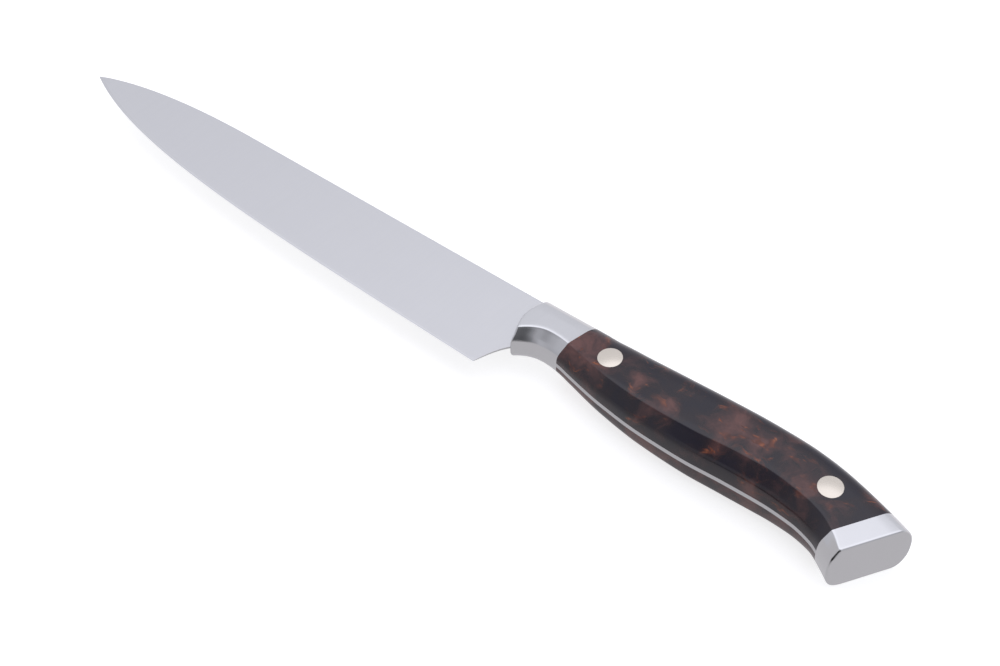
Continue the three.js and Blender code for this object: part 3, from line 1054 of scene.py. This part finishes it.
@dataclass
class Scales:
    """The two handle scales, drilled for the rivets."""

    form: HandleForm
    finishes: dict[Side, Finish]
    hole_radius: float = 3.185
    hole_seat: float = 3.1
    drill_length: float = 8.0
    steps: int = 110
    wall_steps: int = 7
    crease: float = 35.0

    def build(self) -> dict[Side, Piece]:
        """Builds the left scale, drills it and copies it to the right.

        Returns:
            The piece on each side.
        """
        cuts = self.form.joint().steps_to(self.form.cap_joint(), self.steps)
        outer = self.form.half_rings(cuts, PLATE_HALF)
        shares = np.linspace(0, 1, self.wall_steps + 1)[1:-1]
        wall = straight(outer[:, -1], outer[:, 0], np.tile(shares, (len(cuts), 1)))
        left = drawn_bar("scale_left_buffed", np.concatenate([outer, wall], axis=1))
        for spot in (FRONT_RIVET, REAR_RIVET):
            self.drill(left, spot)
        smooth(left, self.crease)
        return {Side.LEFT: left, Side.RIGHT: mirrored(left, "scale_right_buffed")}

    def drill(self, scale: Piece, spot: Pair) -> None:
        """Drills the recess for one rivet head.

        Args:
            scale: The scale.
            spot: The rivet's distance from the bolster's front and height over the spine's line.
        """
        drill = disc(self.hole_radius, spot, self.hole_seat, self.hole_seat + self.drill_length)
        pick(scale)
        hole = scale.modifiers.new("hole", "BOOLEAN")
        hole.operation = "DIFFERENCE"
        hole.solver = "EXACT"
        hole.object = drill
        bpy.ops.object.modifier_apply(modifier=hole.name)
        bpy.data.objects.remove(drill)

    def dress(self, scales: dict[Side, Piece]) -> None:
        """Dresses both scales."""
        for side, scale in scales.items():
            dress(scale, self.finishes[side], [f"scale_{side.value}"])


@dataclass
class Rivet:
    """A cutlery rivet: a headed pin pressed into a headed tube, ground flush on both sides."""

    form: HandleForm
    finish: Finish
    name: str
    spot: Pair
    head_radius: float = 3.175
    tube_radius: float = 2.2
    pin_radius: float = 1.5
    head_seat: float = 3.2
    pin_spare: float = 0.6
    tube_spare: float = 0.1
    rim_round: float = 0.05
    rim_segments: int = 2
    proud: float = 0.01
    top_depth: float = 0.1
    crease: float = 30.0

    def half(self, name: str, stem_radius: float, stem_end: float) -> Piece:
        """Models a head on the left side with the stem below it.

        Args:
            name: Name of the piece.
            stem_radius: Radius of the stem.
            stem_end: Height of the stem's end over the middle of the plate.

        Returns:
            The piece.
        """
        top = float(self.form.half_thickness.at(np.array(self.spot[0]))) + self.proud
        near_top = ORIGIN[2] + (top - self.top_depth) * MM
        piece = disc(self.head_radius, self.spot, self.head_seat, top)
        piece.name = piece.data.name = name
        select_faces(piece, lambda face: face.normal.z < -0.5)
        bpy.ops.mesh.inset(thickness=(self.head_radius - stem_radius) * MM)
        bpy.ops.mesh.extrude_region_move(
            TRANSFORM_OT_translate={"value": (0, 0, (stem_end - self.head_seat) * MM)}
        )
        select_faces(piece, lambda face: face.normal.z > 0.5 and face.calc_center_median().z > near_top)
        bpy.ops.mesh.bevel(offset=self.rim_round * MM, segments=self.rim_segments, affect="EDGES")
        mesh = edit(piece)
        for vert in mesh.verts:
            if vert.co.z > near_top:
                x = (vert.co.x - ORIGIN[0]) / MM
                vert.co.z += (float(self.form.half_thickness.at(np.array(x))) + self.proud - top) * MM
        bmesh.update_edit_mesh(piece.data)
        smooth(piece, self.crease)
        return piece

    def build(self) -> dict[str, Piece]:
        """Builds the pin half on the left and the tube half on the right.

        Returns:
            The pieces, by the solid that each stands for.
        """
        pin = self.half(f"{self.name}_pin", self.pin_radius, self.pin_spare - self.head_seat)
        tube = self.half(f"{self.name}_tube_left", self.tube_radius, self.tube_spare - self.head_seat)
        other = mirrored(tube, f"{self.name}_tube")
        bpy.data.objects.remove(tube)
        return {f"{self.name}_male": pin, f"{self.name}_female": other}

    def dress(self, halves: dict[str, Piece]) -> None:
        """Dresses both halves."""
        for node, piece in halves.items():
            dress(piece, self.finish, [node])


@dataclass
class Studio:
    """A pale floor, soft light from above and behind, and the photo's camera."""

    floor_size: float = 6.0
    floor_colour: str = "cdcdcd"
    floor_tint: str = "fcfaff"
    floor_glow: float = 0.72
    floor_sheen: float = 0.71
    dark_pool: Place = (126.0, -132.0, -7.9)
    dark_pool_reach: Pair = (86.0, 102.0)
    dark_pool_sheen: float = 0.02
    floor_back_sheen: float = 0.3
    floor_back_span: Pair = (-6.0, 4.0)
    sky_colour: str = "f5f6ff"
    sky_top: float = 1.65
    sky_steps: Stops = (
        (0.0, "c6c6c6"), (0.5, "cacaca"), (0.66, "c9c9c9"), (0.75, "cbcbcb"), (0.78, "d3d3d3"),
        (0.8, "e0e0e0"), (0.825, "f8f8f8"), (1.0, "ffffff"),
    )
    dark_way: Place = (0.5, -0.866, 0.0)
    side_steps: Stops = (
        (0.25, "ffffff"), (0.5, "eaeaea"), (0.64, "e0e0e0"), (0.75, "d0d0d0"), (0.86, "e0e0e0"),
        (0.92, "cecece"), (0.96, "a4a4a4"), (0.985, "7a7a7a"), (1.0, "646464"),
    )
    dark_spot: Place = (-0.22, -0.3, 0.928)
    dark_spot_edge: Pair = (26.0, 8.0)
    dark_spot_depth: float = 0.66
    camera_place: Place = (175.73, -254.02, 364.26)
    camera_pitch: float = 50.516
    camera_turn: float = 37.03
    lens_per_width: float = 1.85
    sensor_width: float = 36.0

    def floor(self) -> None:
        """Lays the floor under the knife: pale to the eye, a card with a dark pool in reflections."""
        deselect()
        bpy.ops.mesh.primitive_plane_add(size=self.floor_size)
        floor = bpy.context.object
        floor.name = "floor"
        material = bpy.data.materials.new("floor_matt_white")
        add = empty_tree(material)
        path = add("ShaderNodeLightPath").outputs
        place = add("ShaderNodeTexCoord").outputs["Object"]
        depth = add("ShaderNodeSeparateXYZ", (place,)).outputs["Y"]
        middle = tuple(np.array(self.dark_pool) * MM + ORIGIN)
        away = add("ShaderNodeVectorMath", (place, middle), operation="DISTANCE").outputs["Value"]
        inner, outer = (reach * MM for reach in self.dark_pool_reach)
        card = add("ShaderNodeMapRange", (away, outer, inner, self.floor_sheen, self.dark_pool_sheen))
        near, far = (ORIGIN[1] + y * MM for y in self.floor_back_span)
        back = add("ShaderNodeMapRange", (depth, near, far, 0.0, self.floor_back_sheen))
        both = add("ShaderNodeMath", (card, back), operation="ADD")
        sheen = add("ShaderNodeMath", (path["Is Glossy Ray"], both), operation="MULTIPLY")
        tint = add(
            "ShaderNodeMix",
            {0: path["Is Glossy Ray"], 6: (1, 1, 1, 1), 7: linear(self.floor_tint)},
            data_type="RGBA",
        )
        colour = add(
            "ShaderNodeMix",
            {0: path["Is Glossy Ray"], 6: linear(self.floor_colour), 7: (0, 0, 0, 1)},
            data_type="RGBA",
        )
        glow = add(
            "ShaderNodeMath", (path["Is Camera Ray"], self.floor_glow, sheen), operation="MULTIPLY_ADD"
        )
        shader = add(
            "ShaderNodeBsdfPrincipled",
            {
                "Base Color": colour.outputs[2],
                "Roughness": 0.9,
                "Specular IOR Level": 0.0,
                "Emission Color": tint.outputs[2],
                "Emission Strength": glow,
            },
        )
        add("ShaderNodeOutputMaterial", {"Surface": shader})
        floor.data.materials.append(material)

    def light(self) -> None:
        """Lights the room softly, brightest overhead and dimmest low on the camera's side."""
        world = bpy.data.worlds.new("soft_studio")
        bpy.context.scene.world = world
        add = empty_tree(world)
        place = add("ShaderNodeTexCoord").outputs["Generated"]
        rise = add("ShaderNodeSeparateXYZ", (place,)).outputs["Z"]
        high = add("ShaderNodeValToRGB", (rise,), self.sky_steps)
        level_way = add("ShaderNodeVectorMath", (place, (1, 1, 0)), operation="MULTIPLY")
        bearing = add("ShaderNodeVectorMath", (level_way,), operation="NORMALIZE")
        toward = add("ShaderNodeVectorMath", (bearing, self.dark_way), operation="DOT_PRODUCT")
        side = add("ShaderNodeMath", (toward.outputs["Value"], 0.5, 0.5), operation="MULTIPLY_ADD")
        open_share = add("ShaderNodeValToRGB", (side,), self.side_steps)
        both = add("ShaderNodeMath", (high, open_share), operation="MULTIPLY")
        spot = add("ShaderNodeVectorMath", (place, self.dark_spot), operation="DOT_PRODUCT")
        edge, core = (math.cos(math.radians(a)) for a in self.dark_spot_edge)
        dark = self.sky_top * (1 - self.dark_spot_depth)
        dimmed = add("ShaderNodeMapRange", (spot.outputs["Value"], edge, core, self.sky_top, dark))
        level = add("ShaderNodeMath", (both, dimmed), operation="MULTIPLY")
        path = add("ShaderNodeLightPath").outputs
        strength = add("ShaderNodeMix", {0: path["Is Camera Ray"], 2: level, 3: self.sky_top})
        sky = add("ShaderNodeBackground", {"Color": linear(self.sky_colour), "Strength": strength})
        add("ShaderNodeOutputWorld", {"Surface": sky})

    def camera(self) -> None:
        """Sets the camera up as in the photo."""
        data = bpy.data.cameras.new("photo_camera")
        data.sensor_width = self.sensor_width
        data.lens = self.lens_per_width * self.sensor_width
        data.clip_start = 0.01
        camera = bpy.data.objects.new("photo_camera", data)
        bpy.context.collection.objects.link(camera)
        camera.location = Vector(np.array(self.camera_place) * MM + ORIGIN)
        camera.rotation_euler = (math.radians(90 - self.camera_pitch), 0, math.radians(self.camera_turn))
        bpy.context.scene.camera = camera

    def build(self) -> None:
        """Sets up floor, light, camera and view."""
        self.floor()
        self.light()
        self.camera()
        bpy.context.scene.view_settings.view_transform = "Standard"


# Satin belt-ground stainless steel: an even light grey with a soft, blurred shine. The real lines are
# about 0.05 mm apart and are drawn wider so that they just show.
SATIN_BLADE = GroundSteel(
    name="stainless_steel_satin_ground", colour="cbcbcc", roughness=0.36, line_width=0.3, line_length=14.0,
    line_turn=0.12, line_roughness=0.03, line_height=0.002,
)
# Buffed stainless steel: clear reflections, a little blurred by hairlines of the last wheel, which are
# drawn wider than the real ones so that they just show.
POLISHED_STEEL = GroundSteel(
    name="stainless_steel_buffed", colour="cfcfd0", roughness=0.19, line_width=0.25, line_length=9.0,
    line_turn=0.2, line_roughness=0.03, line_height=0.001,
)
# Nickel silver, ground flush and buffed with the scales: a warm grey metal with a soft shine. Its lines
# are drawn wider than the real ones too.
NICKEL_SILVER = GroundSteel(
    name="nickel_silver_ground_flush", colour="d9d1c5", roughness=0.27, line_width=0.2, line_length=5.0,
    line_turn=1.2, line_roughness=0.04, line_height=0.0004,
)
# Resin-filled burl, sanded and buffed: near black and cloudy, with red-brown patches and orange flecks
# under a clear gloss that mirrors the room. The right scale, which faces the floor, is painted lighter and
# redder all over: painted light from below.
LEFT_BURL = GlossyBurl()
RIGHT_BURL = GlossyBurl(name="burl_resin_filled_buffed_floor_lit", floor_light_shift=0.16)


def main() -> None:
    """Builds and dresses the knife piece by piece, then sets up the studio."""
    logging.basicConfig(level=logging.INFO, format="%(name)s %(message)s")
    form = HandleForm()
    nickel = NICKEL_SILVER.material()
    polished = POLISHED_STEEL.material()
    assemblies = [
        Plate(form, SATIN_BLADE.material()),
        Bolster(form, polished),
        Scales(form, {Side.LEFT: LEFT_BURL.material(), Side.RIGHT: RIGHT_BURL.material()}),
        ButtCap(form, polished),
        Rivet(form, nickel, "front_rivet", FRONT_RIVET),
        Rivet(form, nickel, "rear_rivet", REAR_RIVET),
    ]
    for assembly in assemblies:
        assembly.dress(assembly.build())
    Studio().build()


if __name__ == "__main__":
    main()
